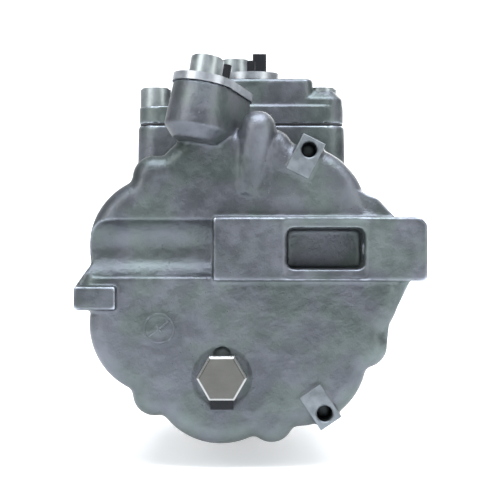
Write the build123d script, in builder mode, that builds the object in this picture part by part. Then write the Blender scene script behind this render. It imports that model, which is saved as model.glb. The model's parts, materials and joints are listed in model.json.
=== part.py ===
from build123d import *
import math
import os

# Variable-displacement swash plate compressor for car air conditioning.
# Millimetres. +Y runs along the shaft towards the pulley, +Z is up.
# The origin is where the shaft axis meets the middle plane of the drive belt.

# ---------------------------------------------------------------- driving dimensions
cylinders = 7
pitch_radius = 38.5          # shaft axis to cylinder axis
bore_radius = 15.0           # cylinder bore
cylinder_lobe_radius = 30.5  # wide lobe around each cylinder
bolt_offset = 21.0           # cylinder axes to the circle of the through bolts
bolt_lobe_radius = 9.5       # lobe around each through bolt
valley_offset = 23.5         # cylinder axes to the round core that the lobes grow from
lobe_fillet = 3.5
step_back = 1.5              # middle and front castings are this much smaller all round
max_tilt = 17.0              # largest swash plate angle, degrees

running_fit = 0.04           # radial clearance of sliding and turning metal
piece_gap = 0.3              # free space between neighbours that never touch

rim_radius = pitch_radius + cylinder_lobe_radius
bolt_circle = pitch_radius + bolt_offset
valley_radius = pitch_radius + valley_offset

# stations along the shaft, from the pulley to the rear face
face_y = -22.0               # front wall of the front housing
front_wall = 10.0
cone_length = 7.0            # slope between the castings' size and the rotor's
thrust_bearing_width = 4.0
lug_plate_width = 9.0
hinge_gap = 40.0             # lug plate to swash plate at zero tilt
swash_width = 9.0
crown_reach = 50.0           # shoe centre to piston crown
crown_clearance = 0.5
claw_rear_reach = 15.0       # shoe centre to the rear end of the piston's bridge
block_front_gap = 0.5        # piston's bridge to cylinder block at top dead centre
front_joint_y = -78.0        # joint face of the front housing
joint_gasket_width = 0.5
suction_reed_width = 0.4
valve_plate_width = 3.2
discharge_reed_width = 0.4
retainer_width = 0.8
rear_housing_length = 41.2
end_wall = 14.0              # rear wall of the rear housing

wall_y = face_y - front_wall
lug_front_y = wall_y - thrust_bearing_width
lug_rear_y = lug_front_y - lug_plate_width
swash_front_y = lug_rear_y - hinge_gap
swash_y = swash_front_y - swash_width / 2
block_front_y = swash_y - claw_rear_reach - block_front_gap
block_rear_y = swash_y - crown_reach - crown_clearance
reed_y = block_rear_y - suction_reed_width
plate_rear_y = reed_y - valve_plate_width
head_y = plate_rear_y - discharge_reed_width - retainer_width
rear_y = head_y - rear_housing_length
block_joint_y = front_joint_y - joint_gasket_width
chamber_y = rear_y + end_wall

# crankcase
case_wall = 11.5              # valley of the castings to the crankcase
case_radius = valley_radius - case_wall
case_lobe_radius = 18.6

# shaft and bearings
shaft_radius = 8.0
rear_journal_radius = 7.0
seal_journal_radius = 7.0
hub_journal_radius = 6.0
radial_bearing_radius = 12.0
radial_bearing_length = 8.0
rear_bearing_radius = 11.0
rear_bearing_length = 14.0
snout_radius = 17.5
snout_tip_y = 8.0

# clutch
pulley_radius = 55.0
pulley_width = 26.0
pulley_web = 6.0
bearing_outer_radius = 27.5
bearing_width = 16.0
rotor_inner_radius = 31.0
rotor_outer_radius = 48.5
air_gap = 0.5                # rotor face to armature plate
armature_width = 4.0
coil_clearance = 1.2

# neck and top cover
neck_half_width = 47.7
neck_front_y = front_joint_y - 2.5
neck_rise = 3.9              # neck's top above the castings' rim
cover_flange = 7.8
cover_height = 21.2
shoulder_height = 17.5
cover_left_x = -20.0
cover_step_x = 33.0
cover_gasket_width = 0.6
cover_step = 1.6             # the raised part of the cover is this much shorter than its flange
shoulder_slope = 5.5
pocket_depth = 8.4
neck_top_z = rim_radius + neck_rise
cover_top_z = neck_top_z + cover_height
shoulder_top_z = neck_top_z + shoulder_height
pocket_floor_z = neck_top_z - pocket_depth

# screws: one size holds the cover, another pulls the castings together
cap_head_radius = 7.1
cap_head_height = 8.6
cap_screw_radius = 4.0
cover_screw_x = 40.0         # screws on the open side of the cover
cover_screw_boss_x = 37.2    # screws sunk in the cover's shoulder
cover_screw_front_y = neck_front_y - 10.0
cover_screw_rear_y = head_y + 17.0
cover_screw_lines = (-cover_screw_x, cover_screw_boss_x)
through_bolt_radius = 3.0
through_bolt_hole = 3.5
through_head_radius = 5.6
through_head_height = 6.0
bolt_seat_y = -44.0

# ports
port_bore_radius = 7.5
flange_radius = 12.8
flange_spacing = 20.5
blank_width = 3.4
plug_stem_radius = 1.9
discharge_stem_height = 11.4
suction_stem_height = 6.4
discharge_port_x = -8.4
discharge_port_rise = 9.3    # middle of the port's face above the neck
discharge_lean_right = 9.5
discharge_lean_forward = 5.0

# rear mounting block
block_left_x = -11.3
block_right_x = 78.5
block_top_z = 29.2
block_bottom_z = 2.3
block_height_y = 10.0        # how far it stands out of the rear face
mount_bore_radius = 4.5
mount_bore_z = 15.9
mount_bore_y = rear_y - 1.5
window_left_x = 19.4
window_right_x = 52.1
window_top_z = 24.7
window_bottom_z = 7.2
window_depth = 19.0
channel_depth = 7.5
channel_radius = 14.0
channel_length = 57.5

# front mounting lugs
front_lug_y = front_joint_y + 15.0
front_lug_z = rim_radius - 1.0
front_lug_radius = 10.5
front_lug_length = 46.0
front_lug_upper_x = -50.0
front_lug_lower_x = -30.0
front_lug_root = 8.0         # the lug's bore to the middle of its foot

# relief valve
relief_x = -7.9
relief_z = -38.7
relief_hex_flats = 18.4
relief_hex_height = 8.0
relief_thread_radius = 5.0
poppet_radius = 3.0
poppet_length = 5.0

# control valve
control_x = 10.0
control_rise = 9.6           # above the neck
control_z = neck_top_z + control_rise
control_bore_radius = 7.5
control_bore_length = 28.0
solenoid_radius = 11.5
solenoid_length = 24.0

first_bolt_angle = 180.0 / cylinders
step_angle = 360.0 / cylinders
os.makedirs("parts", exist_ok=True)


# ---------------------------------------------------------------- helpers
def cross_plane(y):
    """Plane across the shaft at y: its x is +X, its y is +Z, and it extrudes towards the rear."""
    return Plane.XZ.offset(-y)


def finish(part, name):
    part.label = name
    export_step(part, "parts/" + name + ".step")


def polar_point(radius, angle):
    """A point in the X-Z plane, at angle degrees from +X towards +Z."""
    return radius * math.cos(math.radians(angle)), radius * math.sin(math.radians(angle))


def housing_outline(inset):
    """Scalloped outline of the castings: a wide lobe over each cylinder, a small one over each bolt."""
    with BuildSketch(Plane.XY) as outline:
        Circle(valley_radius - inset)
        with PolarLocations(pitch_radius, cylinders):
            Circle(cylinder_lobe_radius - inset)
        with PolarLocations(bolt_circle, cylinders, start_angle=first_bolt_angle):
            Circle(bolt_lobe_radius - inset)
        fillet(outline.vertices(), lobe_fillet)
    return outline.sketch


def crankcase_outline():
    """Inside of the crankcase: round, with a lobe where each piston's bridge slides."""
    with BuildSketch(Plane.XY) as outline:
        Circle(case_radius)
        with PolarLocations(pitch_radius, cylinders):
            Circle(case_lobe_radius)
    return outline.sketch


def flange_outline(grow=0.0):
    """Port flange: round about the port at the origin and round about its screw."""
    with BuildSketch(Plane.XY) as outline:
        with Locations((flange_spacing / 2, 0)):
            SlotCenterToCenter(flange_spacing, 2 * (flange_radius + grow))
    return outline.sketch


def bolt_hole_sketch(radius):
    with BuildSketch(Plane.XY) as holes:
        with PolarLocations(bolt_circle, cylinders, start_angle=first_bolt_angle):
            Circle(radius)
    return holes.sketch


def coil_spring(plane, radius, wire_radius, length, turns):
    """Compression spring along the plane's z axis; the wire's centre line starts one radius in."""
    rise = length - 2 * wire_radius
    first = plane.offset(wire_radius)
    with BuildPart() as spring:
        with BuildLine() as path:
            Helix(rise / turns, rise, radius, center=first.origin, direction=first.z_dir)
        start = path.line @ 0
        with BuildSketch(Plane(origin=start, z_dir=path.line % 0)):
            Circle(wire_radius)
        sweep(is_frenet=True)
    return spring.part


# the two port flanges: origin at the port, x towards the flange's screw, z out of the port
lean_x = math.tan(math.radians(discharge_lean_right))
lean_y = math.tan(math.radians(discharge_lean_forward))
discharge_normal = Vector(lean_x, lean_y, 1.0).normalized()
discharge_along = Vector(-0.42, -1.0, 0.0)
discharge_port = Plane(
    origin=(discharge_port_x, rear_y + 20.0, neck_top_z + discharge_port_rise),
    x_dir=discharge_along - discharge_normal * discharge_along.dot(discharge_normal),
    z_dir=discharge_normal,
)
suction_port = Plane(
    origin=(4.5, head_y + 20.0, cover_top_z),
    x_dir=(-0.4, 1.0, 0.0),
    z_dir=(0, 0, 1),
)
port_planes = [discharge_port, suction_port]

# ---------------------------------------------------------------- front housing
with BuildPart() as front_housing:
    with BuildSketch(cross_plane(bolt_seat_y)):
        add(housing_outline(step_back))
    extrude(amount=bolt_seat_y - front_joint_y)
    with BuildSketch(Plane.XY):
        with BuildLine():
            Polyline(
                (0, bolt_seat_y - 1),
                (valley_radius - step_back - 1, bolt_seat_y - 1),
                (valley_radius - step_back - 1, face_y - cone_length),
                (rotor_outer_radius + 3, face_y),
                (snout_radius + 3, face_y),
                (snout_radius + 3, face_y + 2),
                (snout_radius, face_y + 2),
                (snout_radius, snout_tip_y),
                (0, snout_tip_y),
                (0, bolt_seat_y - 1),
            )
        make_face()
    revolve(axis=Axis.Y)
    # upper and lower front mounting lugs, each with a cross bore
    for side, left_x in ((1, front_lug_upper_x), (-1, front_lug_lower_x)):
        with BuildSketch(Plane.YZ.offset(left_x)):
            with Locations((front_lug_y, side * front_lug_z)):
                Circle(front_lug_radius)
            with Locations((front_lug_y, side * (front_lug_z - front_lug_root))):
                Rectangle(2 * front_lug_radius, 2 * front_lug_root)
        extrude(amount=front_lug_length)
    with BuildSketch(cross_plane(wall_y)):
        add(crankcase_outline())
    extrude(amount=wall_y - front_joint_y, mode=Mode.SUBTRACT)
    with BuildSketch(cross_plane(snout_tip_y)):
        Circle(radial_bearing_radius)
    extrude(amount=snout_tip_y - wall_y, mode=Mode.SUBTRACT)
    with BuildSketch(cross_plane(bolt_seat_y)):
        add(bolt_hole_sketch(through_bolt_hole))
    extrude(amount=bolt_seat_y - front_joint_y, mode=Mode.SUBTRACT)
    with BuildSketch(cross_plane(bolt_seat_y + 30)):
        add(bolt_hole_sketch(through_head_radius + 0.9))
    extrude(amount=30, mode=Mode.SUBTRACT)
    for side, left_x in ((1, front_lug_upper_x), (-1, front_lug_lower_x)):
        with BuildSketch(Plane.YZ.offset(left_x - 1.0)):
            with Locations((front_lug_y, side * front_lug_z)):
                Circle(mount_bore_radius)
        extrude(amount=front_lug_length + 2.0, mode=Mode.SUBTRACT)
finish(front_housing.part, "front_housing")

# ---------------------------------------------------------------- cylinder block with its neck
with BuildPart() as cylinder_block:
    with BuildSketch(cross_plane(block_joint_y)):
        add(housing_outline(step_back))
    extrude(amount=block_joint_y - block_rear_y)
    # neck that carries the top cover
    with BuildSketch(Plane.XY.offset(neck_top_z)):
        with Locations((0, (neck_front_y + block_rear_y) / 2)):
            RectangleRounded(2 * neck_half_width, neck_front_y - block_rear_y, 9.0)
    extrude(amount=-30.0, taper=-1.0)
    with BuildSketch(cross_plane(block_joint_y)):
        add(crankcase_outline())
    extrude(amount=block_joint_y - block_front_y, mode=Mode.SUBTRACT)
    with BuildSketch(cross_plane(block_front_y)):
        with PolarLocations(pitch_radius, cylinders):
            Circle(bore_radius)
    extrude(amount=block_front_y - block_rear_y, mode=Mode.SUBTRACT)
    with BuildSketch(cross_plane(block_front_y)):
        Circle(rear_bearing_radius)
    extrude(amount=block_front_y - block_rear_y - 12.0, mode=Mode.SUBTRACT)
    with BuildSketch(cross_plane(block_joint_y)):
        add(bolt_hole_sketch(through_bolt_hole))
    extrude(amount=block_joint_y - block_rear_y, mode=Mode.SUBTRACT)
    # discharge and suction pockets under the cover, each with its passage to the rear joint
    pocket_length = neck_front_y - block_rear_y - 18.0
    with BuildSketch(Plane.XY.offset(neck_top_z)):
        for x in (-21.0, 12.5):
            with Locations((x, (neck_front_y + block_rear_y) / 2)):
                RectangleRounded(23.0, pocket_length, 6.0)
    extrude(amount=pocket_floor_z - neck_top_z, mode=Mode.SUBTRACT)
    with BuildSketch(cross_plane(block_rear_y)):
        for x in (-21.0, 12.5):
            with Locations((x, (pocket_floor_z + neck_top_z) / 2)):
                Circle(2.6)
    extrude(amount=-14.0, mode=Mode.SUBTRACT)
    for x in cover_screw_lines:
        for y in (cover_screw_front_y, cover_screw_rear_y):
            with Locations(Plane(origin=(x, y, neck_top_z))):
                Hole(cap_screw_radius, depth=15.0)
    split(bisect_by=cross_plane(block_rear_y), keep=Keep.BOTTOM)
finish(cylinder_block.part, "cylinder_block")

# ---------------------------------------------------------------- rear housing
rim_fillet = 7.5
shoulder_front_y = head_y - 6.0
shoulder_drop = 4.0          # the shoulder's face stands this far below the rear face
shoulder_foot_z = -29.0
rib_drop = 1.5
rib_foot_z = 24.0
rib_top_z = 42.0
rib_inner_x = 20.0
block_corner = 3.0
left_boss_tip_x = -71.3
left_boss_root_x = -52.6
left_boss_top_z = 0.4
left_boss_bottom_z = -10.6
left_boss_length = 20.0
left_boss_front_y = rear_y + 16.0
left_web_root_x = -45.0
left_web_top_z = 12.0
left_web_length = 19.0
passage_radius = 7.7
passage_start = Vector(2.3, rear_y + 6.5, 40.0)
passage_end = Vector(7.5, rear_y + 3.0, rim_radius - 1.8)
boss_length = 18.5
boss_foot = 5.5
chamber_outer_radius = valley_radius - 8.0
chamber_inner_radius = pitch_radius - 2.5
suction_chamber_radius = chamber_inner_radius - 4.0
pad_inset = 7.2              # rim to the middle of each fixing pad
pad_radius = rim_radius - pad_inset
pad_upper_angle = 63.3
pad_lower_angle = -56.6
pad_hole_radius = 3.4
pad_hole_offset = 3.2
pad_hole_depth = 15.0
pad_width = 10.6
pad_length = 16.6
pad_height = 0.8
with BuildPart() as rear_housing:
    with BuildSketch(cross_plane(head_y)):
        add(housing_outline(0))
    extrude(amount=rear_housing_length)
    fillet(rear_housing.faces().sort_by(Axis.Y)[0].outer_wire().edges(), rim_fillet)
    # shoulder that carries the mounting block past the rim
    with BuildSketch(cross_plane(shoulder_front_y)):
        with BuildLine():
            Polyline(
                (rim_radius - 39.0, block_top_z - 4),
                (block_right_x - 4, block_top_z - 4),
                (block_right_x - 6, block_bottom_z - 1),
                (rim_radius - 0.5, block_bottom_z - 9.3),
                (rim_radius - 5.0, block_bottom_z - 17.3),
                (rim_radius - 6.5, shoulder_foot_z),
                (rim_radius - 39.0, shoulder_foot_z),
                close=True,
            )
        make_face()
    extrude(amount=shoulder_front_y - rear_y - shoulder_drop)
    # rounded rib above the mounting block
    with BuildSketch(cross_plane(shoulder_front_y)):
        with BuildLine():
            Polyline(
                (rib_inner_x, rib_foot_z),
                (rim_radius - 2.5, rib_foot_z),
                (rim_radius - 3.5, rib_top_z - 12.0),
                (rim_radius - 10.0, rib_top_z - 5.0),
                (rim_radius - 21.0, rib_top_z),
                (rib_inner_x, rib_top_z),
                close=True,
            )
        make_face()
    extrude(amount=shoulder_front_y - rear_y - rib_drop)
    # mounting block across the rear face
    with BuildSketch(cross_plane(shoulder_front_y)) as block_sketch:
        with BuildLine():
            Polyline(
                (block_left_x, block_top_z),
                (block_right_x, block_top_z),
                (block_right_x, block_bottom_z),
                (block_left_x, block_bottom_z),
                close=True,
            )
        make_face()
        chamfer(block_sketch.vertices().group_by(Axis.X)[-1].sort_by(Axis.Z)[0], block_corner)
        fillet(block_sketch.vertices().group_by(Axis.X)[-1].sort_by(Axis.Z)[-1], block_corner)
    extrude(amount=shoulder_front_y - rear_y + block_height_y)
    # left boss with its flat end
    with BuildSketch(cross_plane(left_boss_front_y)):
        with BuildLine():
            Polyline(
                (left_boss_root_x, left_boss_top_z),
                (left_boss_tip_x, left_boss_top_z),
                (left_boss_tip_x, left_boss_bottom_z),
                (left_boss_root_x, left_boss_bottom_z),
                close=True,
            )
        make_face()
    extrude(amount=left_boss_length, taper=1.5)
    with BuildSketch(cross_plane(left_boss_front_y + 6.0)):
        with BuildLine():
            Polyline(
                (left_web_root_x, left_web_top_z),
                (5.5 - rim_radius, left_web_top_z - 1.5),
                (left_boss_tip_x + 0.8, left_boss_top_z),
                (left_boss_tip_x + 0.8, left_boss_bottom_z),
                (left_web_root_x, left_boss_bottom_z),
                close=True,
            )
        make_face()
    extrude(amount=left_web_length)
    # gas passage that bulges from the face
    with BuildSketch(Plane(origin=passage_start, z_dir=passage_end - passage_start)):
        Circle(passage_radius)
    extrude(amount=(passage_end - passage_start).length)
    with Locations(passage_end):
        Sphere(passage_radius)
    # discharge port boss, leaning over the rear face
    with BuildSketch(discharge_port):
        add(flange_outline())
    extrude(amount=-boss_length, taper=-3.0)
    with BuildSketch(discharge_port.offset(-boss_length)):
        add(flange_outline(1.0))
    extrude(amount=-boss_foot, taper=40.0)
    # fixing pads
    for angle in (pad_upper_angle, pad_lower_angle):
        with BuildSketch(cross_plane(rear_y + 16.0)):
            with PolarLocations(pad_radius, 1, start_angle=angle):
                Rectangle(pad_length, pad_width)
        extrude(amount=16.0 + pad_height)
    # rounded channel for the long fixing bolt, left of the block
    with BuildSketch(Plane.YZ.offset(block_left_x)):
        with Locations((rear_y + channel_depth - channel_radius, mount_bore_z)):
            Circle(channel_radius)
    extrude(amount=-channel_length, mode=Mode.SUBTRACT)
    # window through which the block is cored out
    with BuildSketch(cross_plane(rear_y - block_height_y)):
        with Locations(((window_left_x + window_right_x) / 2, (window_top_z + window_bottom_z) / 2)):
            RectangleRounded(window_right_x - window_left_x, window_top_z - window_bottom_z, 2.8)
    extrude(amount=-window_depth, taper=1.5, mode=Mode.SUBTRACT)
    with BuildSketch(cross_plane(rear_y - block_height_y)):
        with Locations(((window_left_x + window_right_x) / 2, (block_top_z + block_bottom_z) / 2)):
            RectangleRounded(window_right_x - window_left_x + 2.4, 24.8, 2.0)
    extrude(amount=-0.8, mode=Mode.SUBTRACT)
    with BuildSketch(Plane.YZ.offset(block_left_x - 1.0)):
        with Locations((mount_bore_y, mount_bore_z)):
            Circle(mount_bore_radius)
    extrude(amount=block_right_x - block_left_x + 2.0, mode=Mode.SUBTRACT)
    # discharge chamber outside, suction chamber in the middle
    with BuildSketch(cross_plane(head_y)):
        Circle(chamber_outer_radius)
        Circle(chamber_inner_radius, mode=Mode.SUBTRACT)
    extrude(amount=head_y - chamber_y, mode=Mode.SUBTRACT)
    with BuildSketch(cross_plane(head_y)):
        Circle(suction_chamber_radius)
    extrude(amount=head_y - chamber_y, mode=Mode.SUBTRACT)
    # through bolt threads
    with BuildSketch(cross_plane(head_y)):
        add(bolt_hole_sketch(through_bolt_radius))
    extrude(amount=24.0, mode=Mode.SUBTRACT)
    # threaded holes of the fixing pads
    with BuildSketch(cross_plane(rear_y - pad_height)):
        for angle in (pad_upper_angle, pad_lower_angle):
            with PolarLocations(pad_radius + pad_hole_offset, 1, start_angle=angle):
                Circle(pad_hole_radius)
    extrude(amount=-pad_hole_depth, mode=Mode.SUBTRACT)
    # relief valve thread, its spot face and the vent slot
    with BuildSketch(cross_plane(rear_y)):
        with Locations((relief_x, relief_z)):
            Circle(relief_thread_radius)
    extrude(amount=-end_wall, mode=Mode.SUBTRACT)
    with BuildSketch(cross_plane(rear_y)):
        with Locations((relief_x, relief_z)):
            Circle(12.6)
    extrude(amount=-0.6, mode=Mode.SUBTRACT)
    with BuildSketch(cross_plane(rear_y)):
        with Locations((relief_x, (relief_z - 10.0 + -26.0) / 2)):
            SlotCenterToCenter(14.4, 8.0, rotation=90)
    extrude(amount=-2.4, mode=Mode.SUBTRACT)
    # discharge port bore down into the chamber, and the flange screw's thread
    with BuildSketch(discharge_port):
        Circle(port_bore_radius)
    extrude(amount=-34.0, mode=Mode.SUBTRACT)
    with BuildSketch(discharge_port):
        with Locations((flange_spacing, 0)):
            Circle(cap_screw_radius)
    extrude(amount=-18.0, mode=Mode.SUBTRACT)
    # foundry date circle
    with BuildSketch(cross_plane(rear_y)):
        with Locations((-34.8, -18.3)):
            Circle(6.7)
            Circle(6.2, mode=Mode.SUBTRACT)
            Rectangle(12.6, 0.5, rotation=8)
            Rectangle(0.5, 12.6, rotation=8)
    extrude(amount=0.35)
finish(rear_housing.part, "rear_housing")

# ---------------------------------------------------------------- top cover
cover_base_z = neck_top_z + cover_gasket_width
cover_length = neck_front_y - block_rear_y
cover_middle_y = (neck_front_y + block_rear_y) / 2
with BuildPart() as top_cover:
    with BuildSketch(Plane.XY.offset(cover_base_z)):
        with Locations((0, cover_middle_y)):
            RectangleRounded(2 * neck_half_width - 1.0, cover_length, 9.0)
    extrude(amount=cover_flange)
    with BuildSketch(Plane.XY.offset(cover_base_z)):
        with Locations(((cover_left_x + neck_half_width) / 2 - 0.5, cover_middle_y)):
            RectangleRounded(neck_half_width - cover_left_x - 1.0, cover_length - cover_step, 7.0)
    extrude(amount=shoulder_top_z - cover_base_z)
    shoulder_top = top_cover.faces().filter_by(Axis.Z).sort_by(Axis.Z)[-1]
    chamfer(shoulder_top.edges().filter_by(Axis.Y).sort_by(Axis.X)[-1], shoulder_slope)
    with BuildSketch(Plane.XY.offset(cover_base_z)):
        with Locations(((cover_left_x + cover_step_x) / 2, cover_middle_y)):
            RectangleRounded(cover_step_x - cover_left_x, cover_length - cover_step, 5.0)
    extrude(amount=cover_top_z - cover_base_z)
    fillet(top_cover.faces().filter_by(Axis.Z).sort_by(Axis.Z)[-1].outer_wire().edges(), 1.6)
    # bores for the suction port, its screw, the control valve and the cover screws
    with BuildSketch(suction_port):
        Circle(port_bore_radius)
    extrude(amount=-(cover_top_z - cover_base_z), mode=Mode.SUBTRACT)
    with BuildSketch(suction_port):
        with Locations((flange_spacing, 0)):
            Circle(cap_screw_radius)
    extrude(amount=-15.0, mode=Mode.SUBTRACT)
    with BuildSketch(cross_plane(neck_front_y)):
        with Locations((control_x, control_z)):
            Circle(control_bore_radius)
    extrude(amount=control_bore_length, mode=Mode.SUBTRACT)
    for x in cover_screw_lines:
        for y in (cover_screw_front_y, cover_screw_rear_y):
            with Locations(Plane(origin=(x, y, cover_base_z + cover_flange))):
                Hole(cap_screw_radius + 0.4, depth=cover_flange)
    with BuildSketch(Plane.XY.offset(cover_top_z)):
        for y in (cover_screw_front_y, cover_screw_rear_y):
            with Locations((cover_screw_boss_x, y)):
                Circle(cap_head_radius + 0.4)
    extrude(amount=-(cover_top_z - cover_base_z - cover_flange), mode=Mode.SUBTRACT)
finish(top_cover.part, "top_cover")

with BuildPart() as top_cover_gasket:
    with BuildSketch(Plane.XY.offset(neck_top_z)) as gasket_sketch:
        with Locations((0, cover_middle_y)):
            RectangleRounded(2 * neck_half_width - 1.6, cover_length - 0.6, 8.7)
            for x in (-21.0, 12.5):
                with Locations((x, 0)):
                    RectangleRounded(23.0, pocket_length, 6.0, mode=Mode.SUBTRACT)
        for x in cover_screw_lines:
            for y in (cover_screw_front_y, cover_screw_rear_y):
                with Locations((x, y)):
                    Circle(cap_screw_radius + 0.4, mode=Mode.SUBTRACT)
    extrude(amount=cover_gasket_width)
finish(top_cover_gasket.part, "top_cover_gasket")

# ---------------------------------------------------------------- gaskets and valve plate
def joint_sheet(y, width, name, openings):
    """A sheet in the shape of the castings' joint, with bolt holes and the openings given."""
    with BuildPart() as sheet:
        with BuildSketch(cross_plane(y)):
            add(housing_outline(step_back))
            add(bolt_hole_sketch(through_bolt_hole), mode=Mode.SUBTRACT)
            add(openings, mode=Mode.SUBTRACT)
        extrude(amount=width)
    finish(sheet.part, name)


def circles_on_pitch(circles):
    """One circle per cylinder for each (radius from the shaft, circle radius) pair."""
    with BuildSketch(Plane.XY) as holes:
        for from_shaft, radius in circles:
            with PolarLocations(from_shaft, cylinders):
                Circle(radius)
    return holes.sketch


suction_port_radius = 4.0
suction_port_circle = pitch_radius - 10.5
discharge_hole_radius = 3.0
discharge_hole_circle = pitch_radius + 9.0
centre_screw_radius = 3.0
joint_sheet(front_joint_y, joint_gasket_width, "front_joint_gasket", crankcase_outline())
with BuildSketch(Plane.XY) as head_gasket_openings:
    Circle(chamber_outer_radius - 0.4)
joint_sheet(plate_rear_y, plate_rear_y - head_y, "head_gasket", head_gasket_openings.sketch)
valve_ports = circles_on_pitch(
    [(suction_port_circle, suction_port_radius), (discharge_hole_circle, discharge_hole_radius)]
)
with BuildSketch(Plane.XY) as valve_plate_openings:
    add(valve_ports)
    Circle(centre_screw_radius)
joint_sheet(reed_y, valve_plate_width, "valve_plate", valve_plate_openings.sketch)

# suction reeds: one thin sheet whose tongues cover the suction ports from the cylinder side
reed_slit = 0.8
with BuildSketch(Plane.XY) as reed_openings:
    with PolarLocations(suction_port_circle + 3.0, cylinders):
        SlotCenterToCenter(12.0, 11.5)
    with PolarLocations(suction_port_circle + 3.0, cylinders):
        SlotCenterToCenter(12.0, 11.5 - 2 * reed_slit, mode=Mode.SUBTRACT)
    with PolarLocations(suction_port_circle + 9.0, cylinders):
        Rectangle(9.0, 11.5 - 2 * reed_slit, mode=Mode.SUBTRACT)
    with PolarLocations(discharge_hole_circle, cylinders):
        Circle(discharge_hole_radius + 0.5)
    Circle(centre_screw_radius)
joint_sheet(block_rear_y, suction_reed_width, "suction_reeds", reed_openings.sketch)

# discharge reeds: a star with one tongue per cylinder, and the stiff stop behind it
for start_y, width, name, tongue in (
    (plate_rear_y, discharge_reed_width, "discharge_reeds", 7.6),
    (plate_rear_y - discharge_reed_width, retainer_width, "reed_stop", 8.4),
):
    with BuildPart() as star:
        with BuildSketch(cross_plane(start_y)):
            Circle(21.0)
            for index in range(cylinders):
                with PolarLocations((discharge_hole_circle + 20.5) / 2, 1, start_angle=index * step_angle):
                    SlotCenterToCenter(discharge_hole_circle - 20.5, tongue)
            Circle(centre_screw_radius, mode=Mode.SUBTRACT)
            with PolarLocations(suction_port_circle, cylinders, start_angle=first_bolt_angle):
                Circle(3.0, mode=Mode.SUBTRACT)
        extrude(amount=width)
    finish(star.part, name)

# ---------------------------------------------------------------- screws
with BuildPart() as through_bolts:
    with BuildSketch(cross_plane(bolt_seat_y)):
        add(bolt_hole_sketch(through_bolt_radius))
    extrude(amount=bolt_seat_y - head_y + 20.0)
    with BuildSketch(cross_plane(bolt_seat_y)):
        add(bolt_hole_sketch(through_head_radius))
    extrude(amount=-through_head_height)
    with BuildSketch(cross_plane(bolt_seat_y + through_head_height)):
        with PolarLocations(bolt_circle, cylinders, start_angle=first_bolt_angle):
            RegularPolygon(2.9, 6)
    extrude(amount=3.5, mode=Mode.SUBTRACT)
finish(through_bolts.part, "through_bolts")


def cap_screw(plane, shank):
    """Cylinder head screw seated on the plane, with a hexagon socket facing along its z."""
    with BuildPart() as screw:
        with BuildSketch(plane):
            Circle(cap_head_radius)
        extrude(amount=cap_head_height)
        top = screw.faces().sort_by(Axis(plane.origin, plane.z_dir))[-1]
        chamfer(top.edges(), 0.9)
        with BuildSketch(plane):
            Circle(cap_screw_radius)
        extrude(amount=-shank)
        with BuildSketch(plane.offset(cap_head_height)):
            RegularPolygon(3.6, 6)
        extrude(amount=-4.5, mode=Mode.SUBTRACT)
    return screw.part


cover_seat_z = cover_base_z + cover_flange
with BuildPart() as cover_screws:
    for x in cover_screw_lines:
        for y in (cover_screw_front_y, cover_screw_rear_y):
            add(cap_screw(Plane(origin=(x, y, cover_seat_z)), cover_flange + 13.0))
finish(cover_screws.part, "cover_screws")

# ---------------------------------------------------------------- port blanking plates, screws and plugs
plug_skirt_radius = port_bore_radius - 0.3
plug_skirt_depth = 5.0
with BuildPart() as port_blanking_plates:
    for port in port_planes:
        with BuildSketch(port):
            add(flange_outline(0.6))
            with Locations((flange_spacing, 0)):
                Circle(cap_screw_radius + 0.3, mode=Mode.SUBTRACT)
            Circle(plug_stem_radius + 2.0, mode=Mode.SUBTRACT)
        extrude(amount=blank_width)
finish(port_blanking_plates.part, "port_blanking_plates")
with BuildPart() as port_screws:
    for port in port_planes:
        seat = port.offset(blank_width)
        add(cap_screw(Plane(origin=seat.from_local_coords((flange_spacing, 0, 0)), z_dir=port.z_dir), 16.0))
finish(port_screws.part, "port_screws")
with BuildPart() as port_plugs:
    for port, stem_height in ((discharge_port, discharge_stem_height), (suction_port, suction_stem_height)):
        with BuildSketch(port.offset(-plug_skirt_depth)):
            Circle(plug_skirt_radius)
        extrude(amount=plug_skirt_depth)
        with BuildSketch(port):
            Circle(plug_stem_radius + 1.9)
        extrude(amount=blank_width)
        with BuildSketch(port.offset(blank_width)):
            Circle(plug_stem_radius)
        extrude(amount=stem_height)
finish(port_plugs.part, "port_plugs")

# ---------------------------------------------------------------- suction check valve
check_length = 8.0
check_travel = 4.5
check_top_z = cover_top_z - plug_skirt_depth - piece_gap
check_cup_plane = Plane(origin=(suction_port.origin.X, suction_port.origin.Y, check_top_z))
with BuildPart() as suction_check_valve:
    with BuildSketch(check_cup_plane):
        Circle(port_bore_radius - running_fit)
    extrude(amount=-check_length)
    with BuildSketch(check_cup_plane.offset(-1.5)):
        Circle(port_bore_radius - 1.4)
    extrude(amount=-check_length, mode=Mode.SUBTRACT)
finish(suction_check_valve.part, "suction_check_valve")

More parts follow.
